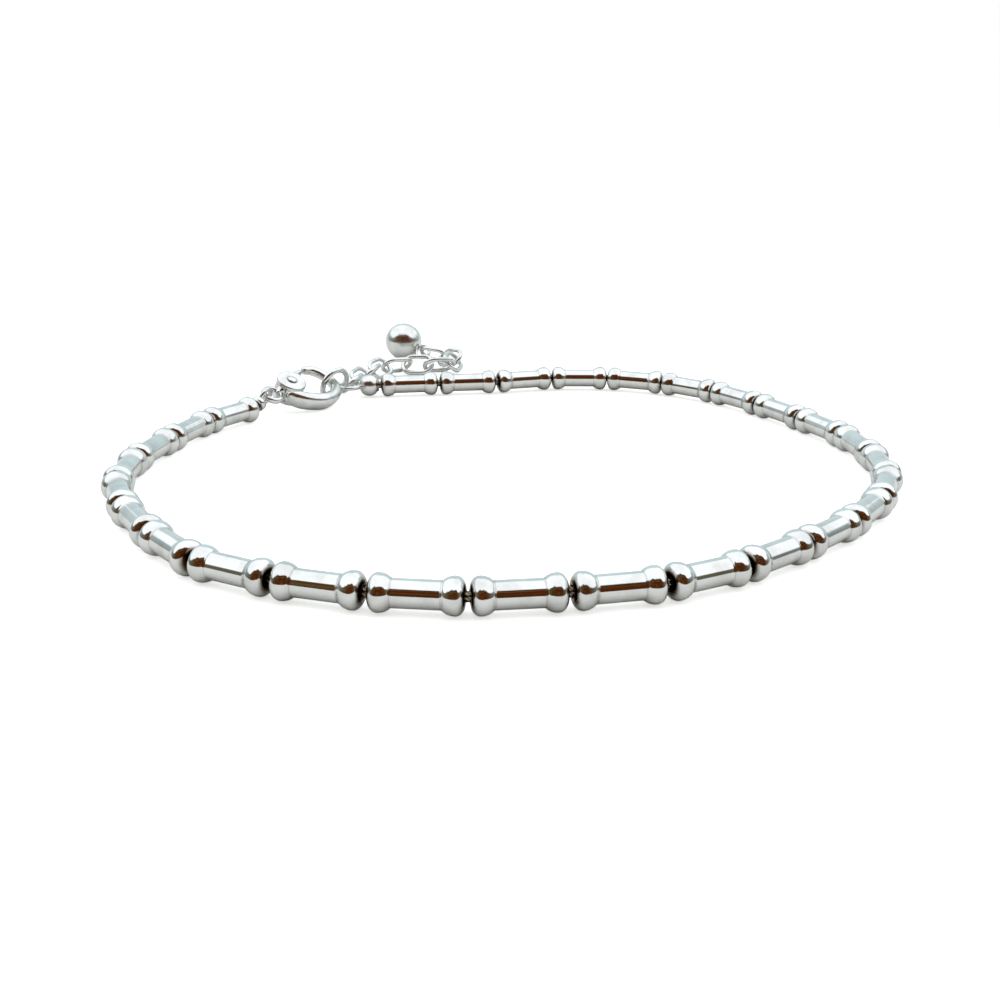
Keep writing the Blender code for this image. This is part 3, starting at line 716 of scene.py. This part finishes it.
capOut = stringJoints[0] - stringJoints[1]
capOut /= np.linalg.norm(capOut)
crimpOut = eyeCentre - claspWays[0] * clasp["eyeRadius"] * mm - stringJoints[-1]
crimpOut /= np.linalg.norm(crimpOut)
besideCap = np.cross(capOut, upward)
besideCrimp = np.cross(claspWays[1], crimpOut)
makePiece("endCap", fittingShells(endCap, stringJoints[0], capOut, besideCap), castSilver, "end_cap")
makePiece("endCrimp", fittingShells(endCrimp, stringJoints[-1], crimpOut, besideCrimp), castSilver,
          "end_crimp")
makeWire(stringJoints, capOut, crimpOut)

ringCentre, ringWays = mainWays(cadPoints("end_ring"))
ringMiddle = ringPath(ringCentre, ringWays[0], ringWays[1], endRing["radius"] * mm)
ringShells = [sweptShell(ringMiddle, endRing["wire"] * mm, endRing["wire"] * mm, ringWays[2], 20,
                         closed=True)]
makePiece("endRing", ringShells, castSilver, "end_ring")
print("end fittings, ring and wire laid")


chainLink = dict(count=10, length=3.97, width=2.71, wire=0.26, around=16)   # mm, outside sizes

drop = dict(
    radius=2.2,                        # mm
    eyeRadius=0.82,
    eyeWire=0.225,
    eyeSunk=0.12,                      # how far the eye is sunk into the ball
    eyeBeyond=1.12,                    # the solid's points past this many radii are its eye's
)


def linkPath(centre, along, across):
    # A round bend of half a turn at each end, with straight sides between.
    straight = 0.5 * (chainLink["length"] - chainLink["width"])
    bend = 0.5 * chainLink["width"] - chainLink["wire"]
    angle = np.linspace(0.0, 2 * np.pi, 72, endpoint=False) + np.pi / 72
    x = np.sign(np.cos(angle)) * straight + bend * np.cos(angle)
    y = bend * np.sin(angle)
    return centre + mm * (x[:, None] * along + y[:, None] * across)


def makeChain():
    # A round wire along each link's path, in its solid's place. Returns the last link's own way.
    for number in range(1, chainLink["count"] + 1):
        node = f"chain_link_{number:02d}"
        centre, linkWays = mainWays(cadPoints(node))
        path = linkPath(centre, linkWays[0], linkWays[1])
        wire = chainLink["wire"] * mm
        shell = sweptShell(path, wire, wire, linkWays[2], chainLink["around"], closed=True)
        makePiece(f"chainLink{number:02d}", [shell], castSilver, node)
    return linkWays[2]


def makeDrop(eyeSide):
    # A ball: height goes as the sine of the latitude and radius as its cosine, with a ring of
    # wire for its eye on the side that the last link holds.
    points = cadPoints("chain_drop")
    lowest = points[points[:, 2].argmin()]
    centre = np.array([lowest[0], lowest[1], drop["radius"] * mm])
    turn = np.linspace(-0.5 * np.pi, 0.5 * np.pi, 42)[1:-1]
    profile = np.stack([np.sin(turn), np.cos(turn)], 1) * drop["radius"] * mm
    rightward = np.array([1.0, 0.0, 0.0])
    ball = turnedShell(profile, np.ones(len(profile)), centre, upward, rightward, 72,
                       poles=(-drop["radius"] * mm, drop["radius"] * mm))
    away = np.linalg.norm(points - centre, axis=1)
    eye = points[away > drop["eyeBeyond"] * drop["radius"] * mm].mean(0) - centre
    eye /= np.linalg.norm(eye)
    across = eyeSide - np.dot(eyeSide, eye) * eye
    across /= np.linalg.norm(across)
    eyeMiddle = centre + eye * (drop["radius"] + drop["eyeRadius"] - drop["eyeSunk"]) * mm
    wire = drop["eyeWire"] * mm
    loop = sweptShell(ringPath(eyeMiddle, eye, across, drop["eyeRadius"] * mm, 48), wire, wire,
                      np.cross(eye, across), 16, closed=True)
    makePiece("chainDrop", [ball, loop], castSilver, "chain_drop")


makeDrop(makeChain())
print("chain and drop laid")


def makeFloor(look):
    # A flat disc, its rim at cosine and sine times the radius. It is paler to the camera than to
    # the silver, as paper is in a bright exposure.
    angle = np.linspace(0.0, 2 * np.pi, 64, endpoint=False)
    rim = look["floorRadius"] * np.stack([np.cos(angle), np.sin(angle), 0 * angle], 1)
    mesh = bpy.data.meshes.new("paleFloor")
    mesh.from_pydata(rim.tolist(), [], [list(range(64))])
    material = bpy.data.materials.new("paleFloor")
    material.use_nodes = True
    tree = material.node_tree
    tree.nodes.clear()
    place = addNode(tree, "ShaderNodeTexCoord").outputs["Object"]
    grain = addNode(tree, "ShaderNodeTexNoise",
                    {"Vector": place, "Scale": look["floorGrain"], "Detail": 3.0})
    paler = tuple(c * look["floorUneven"] for c in look["floorColour"])
    colour = addRamp(tree, grain.outputs["Fac"], [(0.3, look["floorColour"]), (0.7, paler)])
    paper = addNode(tree, "ShaderNodeBsdfDiffuse", {"Color": colour})
    rays = addNode(tree, "ShaderNodeLightPath")
    fill = addNode(tree, "ShaderNodeMath", {0: rays.outputs["Is Camera Ray"], 1: look["floorFill"]},
                   operation="MULTIPLY")
    glow = addNode(tree, "ShaderNodeEmission", {"Strength": fill.outputs[0]})
    both = addNode(tree, "ShaderNodeAddShader", {0: paper.outputs[0], 1: glow.outputs[0]})
    addNode(tree, "ShaderNodeOutputMaterial", {"Surface": both.outputs[0]})
    mesh.materials.append(material)
    floor = bpy.data.objects.new("paleFloor", mesh)
    bpy.context.scene.collection.objects.link(floor)


makeFloor(studio)
